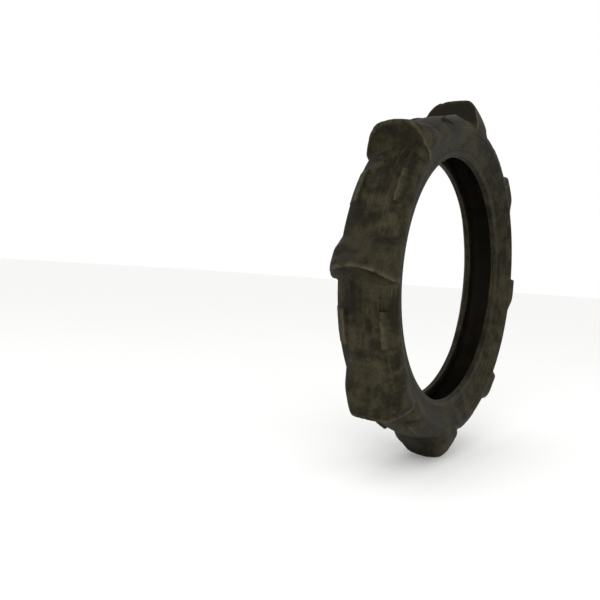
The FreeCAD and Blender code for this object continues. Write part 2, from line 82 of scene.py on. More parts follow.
class TireSizes(PropertyGroup):
    """Sizes of the carcass, in metres."""
    seat_radius: metres("Bead seat", "Radius of the bead seat", 0.2413)
    toe: metres("Bead toe", "Distance from the mid-plane to the bead toe", 0.025)
    heel: metres("Bead heel", "Distance from the mid-plane to the bead heel", 0.0365)
    flange_radius: metres("Flange radius", "Radius at the top of the bead leg", 0.253)
    flange_half: metres("Flange half width", "Mid-plane to the top of the bead leg", 0.0385)
    wide_radius: metres("Widest radius", "Radius where the tire is widest", 0.293)
    half_width: metres("Half width", "Half the carcass width", 0.057)
    crown_radius: metres("Crown radius", "Radius of the tread between paddles", 0.320)
    shoulder_arc: metres("Shoulder rounding", "Rounding above the widest point", 0.018)
    flank_arc: metres("Flank rounding", "Rounding below the widest point", 0.014)
    casing_crown: metres("Casing crown", "Outer radius of the casing", 0.3121)
    casing_half: metres("Casing half width", "Half the casing's width", 0.053)
    casing_arc: metres("Casing shoulder", "Rounding of the casing's shoulder", 0.013)
    casing_turn: metres("Casing turn", "Radius where the casing leaves the bead", 0.257)
    casing_thick: metres("Casing thickness", "Plies and liner together", 0.004)
    split_angle: degrees("Tread edge", "Where the tread ends on the shoulder", 50.0)
    ring_steps: IntProperty(name="Ring steps", description="Faces round each ring", default=420, min=96)


class PaddleSizes(PropertyGroup):
    """Sizes of the paddles and shoulder ribs, in metres."""
    count: IntProperty(name="Paddles", description="Number of paddles", default=8, min=2)
    clock: degrees("Clocking", "Turn of the first paddle", 1.7)
    lip_radius: metres("Lip radius", "Radius over the paddle lips", 0.3625)
    ramp_length: metres("Ramp length", "Length of the ramp behind the lip", 0.057)
    lead: metres("Wing lead", "How far the wing tips lead the lip", 0.020)
    scoop_depth: metres("Scoop depth", "Half length of the hollow", 0.150)
    scoop_width: metres("Scoop width", "Half width of the hollow", 0.120)
    scoop_height: metres("Scoop height", "Half height of the hollow", 0.090)
    lip_round: metres("Lip rounding", "Worn rounding of the lip", 0.0022)
    toe_fillet: metres("Toe fillet", "Rounding from scoop into tread", 0.010)
    rib_start: metres("Rib start", "Crown edge of a shoulder rib", 0.0308)
    rib_height: metres("Rib height", "Height of that edge", 0.006)
    rib_turn: degrees("Rib length", "Turn covered by one rib", 12.8)
    rib_shift: degrees("Rib shift", "Turn of a rib past the half-way point", 4.3)


class TireColours(PropertyGroup):
    """Colours of the finishes, as linear RGB."""
    tread: tint("Tread rubber", "Worn rubber of tread and paddles", (0.0112, 0.0095, 0.0050))
    side: tint("Side rubber", "Rubber of the sidewalls", (0.0108, 0.0090, 0.0046))
    # dark is also the colour that the painted shade in the scoop hollows darkens towards
    dark: tint("Clean rubber", "Unworn rubber in creases and inside", (0.0034, 0.0031, 0.0022))
    dust: tint("Sand dust", "Dried sand on the rubber", (0.044, 0.038, 0.0235))
    floor: tint("Floor", "Studio floor and backdrop", (0.93, 0.93, 0.92))


def sizes():
    return bpy.context.scene.tire_sizes


def paddle_sizes():
    return bpy.context.scene.tire_paddles


def colours():
    return bpy.context.scene.tire_colours


# ---------------------------------------------------------------- meridian outlines, as (along, out)
def arc_points(along, out, radius, start, end, count):
    """Points on an arc round (along, out), by angle from the axis direction."""
    points = []
    for step in range(count + 1):
        angle = start + (end - start) * step / count
        points.append((along + radius * math.cos(angle), out + radius * math.sin(angle)))
    return points


def crown_join(half_width, rise, small_arc):
    """Radius of the crown arc that meets the shoulder arc smoothly, and the angle of their join."""
    big = (half_width ** 2 + rise ** 2 - 2 * half_width * small_arc) / (2 * (rise - small_arc))
    return big, math.atan2(big - rise, half_width - small_arc)


def touch_angle(along, out, centre_along, centre_out, radius):
    """Slope of the line from a point that just touches an arc."""
    across = centre_along - along
    up = centre_out - out
    return math.atan2(up, across) - math.asin(radius / math.hypot(across, up))


def skin_half():
    """The carcass outside from the top of the bead leg to the crown, on the +Y side."""
    s = sizes()
    centre = s.half_width - s.flank_arc
    lean = touch_angle(s.flange_half, s.flange_radius, centre, s.wide_radius, s.flank_arc)
    touch = (centre + s.flank_arc * math.sin(lean), s.wide_radius - s.flank_arc * math.cos(lean))
    points = straight((s.flange_half, s.flange_radius), touch, 34)
    points += arc_points(centre, s.wide_radius, s.flank_arc, lean - math.pi / 2, 0.0, 10)[1:]
    big, join = crown_join(s.half_width, s.crown_radius - s.wide_radius, s.shoulder_arc)
    shoulder = s.half_width - s.shoulder_arc
    points += arc_points(shoulder, s.wide_radius, s.shoulder_arc, 0.0, join, 22)[1:]
    points += arc_points(0.0, s.crown_radius - big, big, join, math.pi / 2, 40)[1:]
    return points


def straight(start, end, count):
    """Even points from start to end."""
    return [tuple(a + (b - a) * step / count for a, b in zip(start, end))
            for step in range(count + 1)]


def casing_half(depth):
    """A casing boundary from the bead to the crown, that far inside the outer ply."""
    s = sizes()
    bead = s.toe + s.casing_thick
    centre = s.half_width - s.flank_arc
    arc = s.casing_half - centre
    lean = touch_angle(bead, s.casing_turn, centre, s.wide_radius, arc)
    turn = s.casing_turn + depth * math.tan((math.pi / 2 - lean) / 2)
    points = straight((bead - depth, s.seat_radius + CHAFER_BASE), (bead - depth, turn), 4)
    inner = arc - depth
    touch = (centre + inner * math.sin(lean), s.wide_radius - inner * math.cos(lean))
    points += straight((bead - depth, turn), touch, 12)[1:]
    points += arc_points(centre, s.wide_radius, inner, lean - math.pi / 2, 0.0, 6)[1:]
    big, join = crown_join(s.casing_half, s.casing_crown - s.wide_radius, s.casing_arc)
    shoulder = s.casing_half - s.casing_arc
    points += arc_points(shoulder, s.wide_radius, s.casing_arc - depth, 0.0, join, 12)[1:]
    points += arc_points(0.0, s.casing_crown - big, big - depth, join, math.pi / 2, 20)[1:]
    return points


def mirrored(points):
    """A half line continued over the mid-plane to the other side."""
    return points + [(-along, out) for along, out in reversed(points[:-1])]


# ---------------------------------------------------------------- mesh helpers
def new_piece(name, vertices, faces, material, nodes, marks=None):
    """A smooth-shaded piece in place of the given CAD nodes; marks are values for each vertex."""
    mesh = bpy.data.meshes.new(name)
    mesh.from_pydata(vertices, [], faces)
    mesh.validate()
    mesh.update()
    mesh.polygons.foreach_set("use_smooth", [True] * len(mesh.polygons))
    for label, values in (marks or {}).items():
        layer = mesh.attributes.new(label, "FLOAT", "POINT")
        layer.data.foreach_set("value", values)
    piece = bpy.data.objects.new(name, mesh)
    bpy.context.scene.collection.objects.link(piece)
    mesh.materials.append(material)
    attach(piece, BODY)
    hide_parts(*nodes)
    return piece


def lathe(outline, steps, shift=None):
    """Vertices and faces of a closed outline turned all the way round the Y axis."""
    vertices = []
    faces = []
    count = len(outline)
    for step in range(steps):
        turn = 2 * math.pi * step / steps
        for index, (along, out) in enumerate(outline):
            if shift:
                along, out = shift(index, along, out, turn)
            vertices.append((out * math.cos(turn), along, out * math.sin(turn)))
    for step in range(steps):
        here = step * count
        there = ((step + 1) % steps) * count
        for index in range(count):
            after = (index + 1) % count
            faces.append((here + index, there + index, there + after, here + after))
    return vertices, faces


def outward(vertices, faces):
    """Turns the faces over if the closed mesh is inside out."""
    volume = 0.0
    for face in faces:
        a = Vector(vertices[face[0]])
        for left, right in zip(face[1:], face[2:]):
            volume += a.dot(Vector(vertices[left]).cross(Vector(vertices[right])))
    return faces if volume > 0 else [tuple(reversed(face)) for face in faces]


def ring_piece(name, outline, material, nodes, shift=None):
    vertices, faces = lathe(outline, sizes().ring_steps, shift)
    return new_piece(name, vertices, outward(vertices, faces), material, nodes)


def both_sides(name, outline, material, node, shift=None):
    """The same ring on the +Y side and, turned over, on the other."""
    for side, way in (("left", 1), ("right", -1)):
        turned = [(way * along, out) for along, out in outline]
        ring_piece(f"{name}_{side}", turned, material, [f"{node}_{side}"], shift)


def direction_at(points, index):
    """Unit direction of a line at one of its points."""
    before, after = points[max(index - 1, 0)], points[min(index + 1, len(points) - 1)]
    return Vector((after[0] - before[0], after[1] - before[1])).normalized()


def smooth_step(low, high, value):
    """Eases from 0 at low to 1 at high."""
    share = min(1.0, max(0.0, (value - low) / (high - low)))
    return share * share * (3 - 2 * share)


SPLINE_STEPS = 24           # points between two knots before resampling


def spline_points(knots, count):
    """Even points on a smooth curve through the knots."""
    dense = []
    for index in range(len(knots) - 1):
        a = knots[max(index - 1, 0)]
        b, c = knots[index], knots[index + 1]
        d = knots[min(index + 2, len(knots) - 1)]
        for step in range(SPLINE_STEPS):
            share = step / SPLINE_STEPS
            dense.append(tuple(
                0.5 * (2 * q + (r - p) * share + (2 * p - 5 * q + 4 * r - w) * share ** 2
                       + (3 * q - p - 3 * r + w) * share ** 3)
                for p, q, r, w in zip(a, b, c, d)))
    dense.append(tuple(knots[-1]))
    return even_points(dense, count)


def even_points(points, count):
    """The line resampled to count + 1 points at even distances."""
    reach = [0.0]
    for here, there in zip(points, points[1:]):
        reach.append(reach[-1] + math.dist(here, there))
    result = []
    index = 0
    for step in range(count + 1):
        want = reach[-1] * step / count
        while index < len(points) - 2 and reach[index + 1] < want:
            index += 1
        span = max(reach[index + 1] - reach[index], 1e-12)
        share = min(1.0, max(0.0, (want - reach[index]) / span))
        pair = zip(points[index], points[index + 1])
        result.append(tuple(a + (b - a) * share for a, b in pair))
    return result


def sheet_block(rows, under):
    """A closed block from a grid of surface points and the matching grid of points beneath it."""
    high, wide = len(rows), len(rows[0])
    vertices = [point for row in rows for point in row] + [point for row in under for point in row]
    base = high * wide
    faces = []
    for row in range(high - 1):
        for column in range(wide - 1):
            a = row * wide + column
            quad = (a, a + 1, a + wide + 1, a + wide)
            faces.append(quad)
            faces.append(tuple(base + corner for corner in reversed(quad)))
    rim = [(0, c) for c in range(wide)] + [(r, wide - 1) for r in range(1, high)]
    rim += [(high - 1, c) for c in range(wide - 2, -1, -1)]
    rim += [(r, 0) for r in range(high - 2, 0, -1)]
    corners = [r * wide + c for r, c in rim]
    for here, there in zip(corners, corners[1:] + corners[:1]):
        faces.append((there, here, base + here, base + there))
    return vertices, outward(vertices, faces)


# ---------------------------------------------------------------- shader groups
class Nodes:
    """Short ways to add and link nodes in one tree."""

    def __init__(self, tree):
        self.tree = tree

    def add(self, kind, values=None, **settings):
        node = self.tree.nodes.new(kind)
        for name, value in settings.items():
            setattr(node, name, value)
        for name, value in (values or {}).items():
            socket = node.inputs[name]
            if isinstance(value, bpy.types.NodeSocket):
                self.link(value, socket)
            else:
                socket.default_value = value
        return node

    def link(self, value, socket):
        self.tree.links.new(value, socket)

    def math(self, operation, a, b=0.0):
        return self.add("ShaderNodeMath", {0: a, 1: b}, operation=operation).outputs[0]

    def times(self, a, b):
        return self.math("MULTIPLY", a, b)

    def ramp(self, value, low, high, to_low=0.0, to_high=1.0):
        """A smooth step of value between low and high."""
        limits = {"Value": value, "From Min": low, "From Max": high,
                  "To Min": to_low, "To Max": to_high}
        node = self.add("ShaderNodeMapRange", limits, interpolation_type="SMOOTHSTEP")
        return node.outputs["Result"]

    def noise(self, place, scale, detail=4.0, rough=0.5):
        return self.add("ShaderNodeTexNoise", {"Vector": place, "Scale": scale, "Detail": detail,
                                               "Roughness": rough}).outputs["Fac"]

    def mix(self, share, a, b):
        node = self.add("ShaderNodeMix", {0: share}, data_type="RGBA")
        for socket, value in ((node.inputs[6], a), (node.inputs[7], b)):
            if isinstance(value, bpy.types.NodeSocket):
                self.link(value, socket)
            else:
                socket.default_value = (*value, 1.0)
        return node.outputs[2]


def new_group(name, inputs, outputs):
    """An empty shader group: a Place vector, float inputs {name: default}, named outputs."""
    tree = bpy.data.node_groups.new(name, "ShaderNodeTree")
    tree.interface.new_socket("Place", in_out="INPUT", socket_type="NodeSocketVector")
    for label, default in inputs.items():
        socket = tree.interface.new_socket(label, in_out="INPUT", socket_type="NodeSocketFloat")
        socket.default_value = default
    for label in outputs:
        tree.interface.new_socket(label, in_out="OUTPUT", socket_type="NodeSocketFloat")
    nodes = Nodes(tree)
    return nodes, nodes.add("NodeGroupInput").outputs, nodes.add("NodeGroupOutput").inputs


def group_named(name, build):
    return bpy.data.node_groups.get(name) or build(name)


def build_wheel_place(name):
    """Turns a point into wheel measures: along the axle, out from it, and a strip running round it."""
    nodes, given, out = new_group(name, {}, ["Along", "Out", "Round"])
    parts = nodes.add("ShaderNodeSeparateXYZ", {0: given["Place"]}).outputs
    square = nodes.math("ADD", nodes.times(parts[0], parts[0]),
                        nodes.times(parts[2], parts[2]))
    nodes.link(parts[1], out["Along"])
    nodes.link(nodes.math("SQRT", square), out["Out"])
    nodes.link(nodes.math("ARCTAN2", parts[2], parts[0]), out["Round"])
    return nodes.tree


def build_rubber_grain(name):
    """Moulded rubber's fine grain, blotchy tone and pin-prick pits."""
    nodes, given, out = new_group(name, {"Fineness": 1.0}, ["Height", "Blotch", "Pits"])
    place = nodes.add("ShaderNodeVectorMath", {0: given["Place"]}, operation="SCALE")
    nodes.link(given["Fineness"], place.inputs["Scale"])
    fine = nodes.noise(place.outputs[0], 900.0, 3.0, 0.6)
    broad = nodes.noise(place.outputs[0], 130.0, 5.0, 0.62)
    blotch = nodes.noise(place.outputs[0], 26.0, 6.0, 0.6)
    cells = nodes.add("ShaderNodeTexVoronoi", {"Vector": place.outputs[0], "Scale": 260.0})
    pits = nodes.ramp(cells.outputs["Distance"], 0.05, 0.16, 1.0, 0.0)
    rare = nodes.ramp(nodes.noise(place.outputs[0], 45.0, 2.0), 0.55, 0.7)
    pits = nodes.times(pits, rare)
    height = nodes.math("ADD", nodes.times(fine, 0.35), nodes.times(broad, 0.65))
    height = nodes.math("SUBTRACT", height, nodes.times(pits, 0.5))
    nodes.link(height, out["Height"])
    nodes.link(blotch, out["Blotch"])
    nodes.link(pits, out["Pits"])
    return nodes.tree


def build_sand_dust(name):
    """Dried sand: soft patches broken up by a finer grain."""
    nodes, given, out = new_group(name, {"Amount": 0.5}, ["Mask", "Specks"])
    patch = nodes.noise(given["Place"], 13.0, 5.0, 0.65)
    cloud = nodes.noise(given["Place"], 75.0, 6.0, 0.75)
    mask = nodes.math("ADD", nodes.times(patch, 0.6), nodes.times(cloud, 0.4))
    low = nodes.math("SUBTRACT", 0.74, nodes.times(given["Amount"], 0.5))
    reach = nodes.ramp(mask, low, nodes.math("ADD", low, 0.2))
    specks = nodes.ramp(nodes.noise(given["Place"], 420.0, 2.0, 0.7), 0.62, 0.74)
    nodes.link(nodes.times(reach, given["Amount"]), out["Mask"])
    nodes.link(nodes.times(specks, given["Amount"]), out["Specks"])
    return nodes.tree


# stretch round the tire, fineness across it, threshold
SCUFF_LAYERS = ((2.2, 520.0, 0.60), (5.5, 900.0, 0.62), (14.0, 210.0, 0.62))


def build_scuffs(name):
    """Scuffs and scratches that run round the tire, with a few crossing them."""
    nodes, given, out = new_group(name, {"Length": 1.0, "Amount": 0.5}, ["Mask", "Height"])
    wheel = nodes.add("ShaderNodeGroup", node_tree=group_named("wheel_place", build_wheel_place))
    nodes.link(given["Place"], wheel.inputs["Place"])
    layers = []
    for stretch, fineness, low in SCUFF_LAYERS:
        turn = nodes.times(wheel.outputs["Round"], nodes.math("DIVIDE", stretch, given["Length"]))
        strip = nodes.add("ShaderNodeCombineXYZ", {
            0: turn,
            1: nodes.times(wheel.outputs["Along"], fineness),
            2: nodes.times(wheel.outputs["Out"], fineness)}).outputs[0]
        layers.append(nodes.ramp(nodes.noise(strip, 1.0, 2.0, 0.5), low, low + 0.12))
    lines = nodes.math("MAXIMUM", layers[0], layers[1])
    lines = nodes.math("MAXIMUM", lines, nodes.times(layers[2], 0.7))
    gate = nodes.ramp(nodes.noise(given["Place"], 17.0, 3.0, 0.6), 0.36, 0.56)
    mask = nodes.times(nodes.times(lines, gate), given["Amount"])
    nodes.link(mask, out["Mask"])
    nodes.link(nodes.times(mask, -1.0), out["Height"])
    return nodes.tree


def build_mould_seam(name):
    """The thin wavering line that the mould halves leave round the middle of the tread."""
    nodes, given, out = new_group(name, {"Width": 0.0009}, ["Mask"])
    parts = nodes.add("ShaderNodeSeparateXYZ", {0: given["Place"]}).outputs
    waver = nodes.math("SUBTRACT", nodes.noise(given["Place"], 14.0, 3.0, 0.55), 0.5)
    off = nodes.math("SUBTRACT", parts[1], nodes.times(waver, 0.009))
    off = nodes.math("DIVIDE", nodes.math("ABSOLUTE", off), given["Width"])
    worn = nodes.ramp(nodes.noise(given["Place"], 22.0, 2.0), 0.3, 0.5)
    nodes.link(nodes.times(nodes.ramp(off, 0.4, 1.0, 1.0, 0.0), worn), out["Mask"])
    return nodes.tree


def place_group(nodes, name, build, place, values=None):
    node = nodes.add("ShaderNodeGroup", node_tree=group_named(name, build))
    nodes.link(place, node.inputs["Place"])
    for label, value in (values or {}).items():
        node.inputs[label].default_value = value
    return node.outputs


# ---------------------------------------------------------------- materials
RUBBER_SHINE = 0.11                     # specular level of all the rubber
RUBBER_TINT = (1.0, 0.92, 0.66, 1.0)    # warm cast of its highlights


def new_material(name):
    material = bpy.data.materials.new(name)
    material.use_nodes = True
    material.node_tree.nodes.clear()
    nodes = Nodes(material.node_tree)
    shader = nodes.add("ShaderNodeBsdfPrincipled")
    out = nodes.add("ShaderNodeOutputMaterial")
    nodes.link(shader.outputs[0], out.inputs["Surface"])
    return material, nodes, shader


def scaled(shade, factor):
    return [value * factor for value in shade]


def rubber(name, base, dust_amount, scuff_amount, rough, seam=False, bump=0.35, worn_edges_and_painted_light=False):
    """Used rubber: blotchy tone, sand dust, scuffs round the tire, and, where asked, worn edges
    lightened partly as a painted highlight, with painted shade in the scoop hollows.
    """
    found = bpy.data.materials.get(name)
    if found:
        return found
    c = colours()
    material, nodes, shader = new_material(name)
    place = nodes.add("ShaderNodeTexCoord").outputs["Object"]
    grain = place_group(nodes, "rubber_grain", build_rubber_grain, place, {"Fineness": 1.0})
    dust = place_group(nodes, "sand_dust", build_sand_dust, place, {"Amount": dust_amount})
    scuff = place_group(nodes, "scuffs", build_scuffs, place,
                        {"Length": 1.0, "Amount": scuff_amount})
    tone = nodes.mix(nodes.ramp(grain["Blotch"], 0.40, 0.62), scaled(base, 0.35), scaled(base, 1.7))
    tone = nodes.mix(nodes.times(scuff["Mask"], 0.85), tone, scaled(base, 4.2))
    tone = nodes.mix(nodes.times(dust["Mask"], 0.9), tone, c.dust)
    tone = nodes.mix(nodes.times(dust["Specks"], 0.5), tone, scaled(c.dust, 1.3))
    soot = nodes.ramp(nodes.noise(place, 210.0, 4.0, 0.7), 0.5, 0.68)
    tone = nodes.mix(nodes.times(soot, 0.6), tone, c.dark)
    tone = nodes.mix(nodes.times(grain["Pits"], 0.6), tone, c.dark)
    height = nodes.math("ADD", nodes.times(grain["Height"], 0.0006),
                        nodes.times(scuff["Height"], 0.0003))
    roughness = nodes.math("ADD", rough, nodes.times(dust["Mask"], 0.25))
    uneven = nodes.times(nodes.math("SUBTRACT", grain["Blotch"], 0.5), 0.3)
    roughness = nodes.math("ADD", roughness, uneven)
    if seam:
        line = place_group(nodes, "mould_seam", build_mould_seam, place, {"Width": 0.0009})
        tone = nodes.mix(nodes.times(line["Mask"], 0.65), tone, c.dark)
        height = nodes.math("ADD", height, nodes.times(line["Mask"], 0.0004))
    if worn_edges_and_painted_light:
        edge = nodes.add("ShaderNodeAttribute", attribute_name="wear").outputs["Fac"]
        broken = nodes.ramp(nodes.noise(place, 70.0, 4.0, 0.7), 0.32, 0.66)
        rub = nodes.times(edge, broken)
        # worn edges are lightened well past the base tone: real rubbed rubber, and also a painted
        # highlight on the lip corners
        tone = nodes.mix(nodes.times(rub, 0.75), tone, scaled(base, 5.0))
        roughness = nodes.math("SUBTRACT", roughness, nodes.times(rub, 0.12))
        # painted shade: the scoop hollows are darkened towards the dark rubber colour
        shade = nodes.add("ShaderNodeAttribute", attribute_name="shade").outputs["Fac"]
        tone = nodes.mix(nodes.times(shade, 0.9), tone, c.dark)
    roughness = nodes.math("MINIMUM", nodes.math("MAXIMUM", roughness, 0.3), 0.95)
    relief = nodes.add("ShaderNodeBump", {"Height": height, "Strength": bump, "Distance": 1.0})
    nodes.link(tone, shader.inputs["Base Color"])
    nodes.link(roughness, shader.inputs["Roughness"])
    nodes.link(relief.outputs[0], shader.inputs["Normal"])
    shader.inputs["Specular IOR Level"].default_value = RUBBER_SHINE
    shader.inputs["Specular Tint"].default_value = RUBBER_TINT
    return material


def cord_fabric():
    """Rubbered cord: fine parallel threads over the ply."""
    found = bpy.data.materials.get("ply_cord")
    if found:
        return found
    material, nodes, shader = new_material("ply_cord")
    place = nodes.add("ShaderNodeTexCoord").outputs["Object"]
    wheel = place_group(nodes, "wheel_place", build_wheel_place, place)
    slant = nodes.math("ADD", nodes.times(wheel["Round"], 0.3), wheel["Along"])
    thread = nodes.math("SINE", nodes.times(slant, 5200.0))
    grain = place_group(nodes, "rubber_grain", build_rubber_grain, place)
    tone = nodes.mix(nodes.ramp(thread, -0.6, 0.8), (0.10, 0.08, 0.06), (0.34, 0.28, 0.2))
    tone = nodes.mix(nodes.times(grain["Blotch"], 0.5), tone, (0.05, 0.045, 0.04))
    height = nodes.times(thread, 0.0002)
    relief = nodes.add("ShaderNodeBump", {"Height": height, "Distance": 1.0})
    nodes.link(tone, shader.inputs["Base Color"])
    nodes.link(nodes.ramp(grain["Blotch"], 0.0, 1.0, 0.6, 0.9), shader.inputs["Roughness"])
    nodes.link(relief.outputs[0], shader.inputs["Normal"])
    return material


def bronzed_wire():
    """Bronze-coated steel wire with drawn marks."""
    found = bpy.data.materials.get("bead_wire_steel")
    if found:
        return found
    material, nodes, shader = new_material("bead_wire_steel")
    place = nodes.add("ShaderNodeTexCoord").outputs["Object"]
    scuff = place_group(nodes, "scuffs", build_scuffs, place, {"Length": 2.0, "Amount": 0.8})
    tone = nodes.mix(scuff["Mask"], (0.50, 0.36, 0.22), (0.66, 0.58, 0.46))
    nodes.link(tone, shader.inputs["Base Color"])
    nodes.link(nodes.ramp(scuff["Mask"], 0.0, 1.0, 0.28, 0.5), shader.inputs["Roughness"])
    shader.inputs["Metallic"].default_value = 1.0
    return material


def tread_rubber():
    return rubber("worn_tread", colours().tread, 0.55, 0.6, 0.66, seam=True)


def paddle_rubber():
    return rubber("worn_paddles", colours().tread, 0.5, 0.5, 0.62, seam=True, worn_edges_and_painted_light=True)


def rib_rubber():
    return rubber("worn_ribs", colours().tread, 0.5, 0.5, 0.62, worn_edges_and_painted_light=True)


def side_rubber():
    return rubber("dusty_sides", colours().side, 0.55, 0.85, 0.62)


def bead_rubber():
    return rubber("scuffed_beads", colours().side, 0.3, 0.8, 0.55)


def liner_rubber():
    return rubber("dark_liner", colours().dark, 0.15, 0.2, 0.6, bump=0.25)


def hidden_rubber():
    return rubber("clean_rubber", colours().dark, 0.0, 0.1, 0.6)


# ---------------------------------------------------------------- carcass pieces
def split_points():
    """Where the tread meets the sidewall: on the casing, on the undertread and on the skin."""
    s = sizes()
    centre = s.casing_half - s.casing_arc
    shift = centre - (s.half_width - s.shoulder_arc)
    cosine, sine = math.cos(s.split_angle), math.sin(s.split_angle)
    to_skin = -shift * cosine + math.sqrt(s.shoulder_arc ** 2 - (shift * sine) ** 2)
    reaches = (s.casing_arc, s.casing_arc + UNDERTREAD, to_skin)
    return [(centre + reach * cosine, s.wide_radius + reach * sine) for reach in reaches]


def make_tread():
    """Smooth outer tread, slightly uneven, with its underside."""
    s = sizes()
    top = split_points()[2]
    skin = [p for p in skin_half() if p[0] < top[0] and p[1] > top[1]]
    outer = mirrored([top] + skin)
    big, join = crown_join(s.casing_half, s.casing_crown - s.wide_radius, s.casing_arc)
    under = arc_points(s.casing_half - s.casing_arc, s.wide_radius, s.casing_arc + UNDERTREAD,
                       s.split_angle, join, 5)
    under += arc_points(0.0, s.casing_crown - big, big + UNDERTREAD, join, math.pi / 2, 14)[1:]
    outline = outer + list(reversed(mirrored(under)))
    top_count = len(outer)

    def uneven(index, along, out, turn):
        if index >= top_count or index in (0, top_count - 1):
            return along, out
        place = Vector((math.cos(turn) * 9, along * 60, math.sin(turn) * 9))
        return along, out + TREAD_SWELL * noise.noise(place)

    ring_piece("tread", outline, tread_rubber(), ["tread_cap"], uneven)


# height above the bead leg, and how far each ring stands up
RIM_LINES = ((0.0035, 0.0006), (0.0065, 0.0005), (0.0115, 0.0006), (0.0205, 0.0004))
RIM_LINE_HALF = 0.00055     # half width of a ring


def ring_relief(reach):
    """Height of the fine rings moulded round the lower sidewall."""
    height = 0.0
    for place, tall in RIM_LINES:
        height += tall * math.exp(-((reach - place) / RIM_LINE_HALF) ** 2)
    return height


def make_sidewalls():
    """Sidewalls with fine raised rings above the bead and a slightly uneven flank."""
    inner_top, _, top = split_points()
    skin = [p for p in skin_half() if p[0] >= top[0] or p[1] < top[1]]
    limit = skin[0][1] + FLANK_SPAN
    flank = even_points([p for p in skin if p[1] <= limit], 90)
    skin = flank + [p for p in skin if p[1] > limit] + [top]
    casing = [p for p in casing_half(0.0)
              if p[1] > CASING_START and (p[0] > inner_top[0] or p[1] < inner_top[1])]
    outer = []
    for index, (along, out) in enumerate(skin):
        way = direction_at(skin, index)
        rise = ring_relief(out - skin[0][1]) if 0 < index < len(skin) - 1 else 0.0
        outer.append((along + way.y * rise, out - way.x * rise))
    outline = outer + [inner_top] + list(reversed(casing)) + [(LEG_INNER, skin[0][1])]
    top_count = len(outer)

    def uneven(index, along, out, turn):
        if index >= top_count or index in (0, top_count - 1):
            return along, out
        apart = 5.0 if along < 0 else 0.0
        place = Vector((math.cos(turn) * 7, out * 50, math.sin(turn) * 7 + apart))
        return along + math.copysign(FLANK_SWELL * noise.noise(place), along), out

    both_sides("sidewall_skin", outline, side_rubber(), "sidewall", uneven)


def make_chafers():
    """Bead feet: rounded toe, seating land, rounded heel and outer leg."""
    s = sizes()
    seat = s.seat_radius
    heel = s.heel - HEEL_ROUND
    outline = [(CHAFER_INNER, seat + CHAFER_BASE), (s.toe, seat + CHAFER_BASE)]
    outline += arc_points(s.toe + TOE_ROUND, seat + TOE_ROUND, TOE_ROUND, math.pi, 1.5 * math.pi, 5)
    outline += straight((s.toe + LAND_START, seat), (heel, seat), 8)
    outline += arc_points(heel, seat + HEEL_ROUND, HEEL_ROUND, -math.pi / 2, 0.0, 10)[1:]
    outline += straight((s.heel, seat + LEG_START), (s.flange_half, s.flange_radius), 8)
    outline += [(LEG_INNER, s.flange_radius), (CHAFER_INNER, LEG_TURN_OUT)]
    both_sides("chafer_foot", outline, bead_rubber(), "chafer")


def make_liner():
    """Inner liner with the faint ripple that the cords beneath leave on it."""
    s = sizes()
    inside = mirrored(casing_half(s.casing_thick))
    outside = mirrored(casing_half(s.casing_thick - LINER))
    count = len(inside)

    def rippled(index, along, out, turn):
        if index >= count:
            return along, out
        return along, out + LINER_RIPPLE * math.sin(240 * turn + along * 900)

    ring_piece("liner", inside + list(reversed(outside)), liner_rubber(), ["inner_liner"],
               rippled)


def dress_inner_nodes():
    """The pieces sealed inside the tire keep their exact shapes and get proper finishes."""
    finishes = {"body_ply": cord_fabric, "breaker": cord_fabric, "bead_wrap": cord_fabric,
                "bead_core": bronzed_wire, "bead_filler": hidden_rubber, "undertread": hidden_rubber}
    for name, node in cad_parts.items():
        for start, finish in finishes.items():
            if name.startswith(start):
                node.data.materials.clear()
                node.data.materials.append(finish())


# ---------------------------------------------------------------- paddles
# (along, out) down the paddle's outline, from the middle of the lip to the foot of a wing
LIP_KNOTS = ((0.0, 0.3630), (0.012, 0.3624), (0.024, 0.3605), (0.0325, 0.3577),
             (0.0380, 0.3540), (0.0430, 0.3482), (0.0478, 0.3410), (0.0530, 0.3295),
             (0.0580, 0.3165), (0.0613, 0.3060), (0.0612, 0.2975), (0.0574, 0.2900))
# (place along the tread, share of the full height) in the middle and at the wings
LIP_RISE = ((-0.034, 1.0), (-0.008, 1.0), (0.005, 0.96), (0.018, 0.66), (0.031, 0.37),
            (0.044, 0.15), (0.057, 0.0))
WING_RISE = ((-0.034, 0.96), (-0.008, 0.99), (0.005, 1.0), (0.018, 0.98), (0.031, 0.82),
             (0.044, 0.36), (0.057, 0.0))
ACROSS = 44                 # columns on each side of a paddle
FOOT_BELOW = 0.3            # radius under which the wings' feet lie
PADDLE_SINK = 0.0035        # how deep the paddle's underside lies in the tread
EDGE_SINK = 0.0007          # how far its edges dip under the tread
CHIP = 0.0005               # worn roughness of the lip
SWELL = 0.0005              # slow unevenness of the moulded rubber
NICK = 0.0035               # depth of the deepest nicks in the lip
MOST_GAIN = 0.0003          # most that the wear may add
SCOOP_PAINTED_SHADE = (0.2, 0.3, 0.95, 0.5, 0.35, 0.6, 0.3, 0.4)    # strength of the painted shade in each scoop's hollow


def eased(knots, place):
    """Smooth value through (place, value) knots, level at both ends."""
    if place <= knots[0][0]:
        return knots[0][1]
    last = len(knots) - 1
    inner = [(after[1] - before[1]) / (after[0] - before[0])
             for before, after in zip(knots, knots[2:])]
    slopes = [0.0] + inner + [0.0]
    for index in range(last):
        (here, low), (there, high) = knots[index], knots[index + 1]
        if place <= there:
            width = there - here
            share = (place - here) / width
            cube, square = share ** 3, share ** 2
            return ((2 * cube - 3 * square + 1) * low
                    + (cube - 2 * square + share) * width * slopes[index]
                    + (3 * square - 2 * cube) * high
                    + (cube - square) * width * slopes[index + 1])
    return knots[-1][1]


def rise_at(place, wing):
    """Share of the full height along the tread; wing is 0 in the middle and 1 at the wings."""
    return max(0.0, (1 - wing) * eased(LIP_RISE, place) + wing * eased(WING_RISE, place))


FULL_FILLET = 0.028         # paddle height from which the toe fillet has its full size
LEAD_EASE = 0.7             # how fast the scoop's curve levels off at its full lead


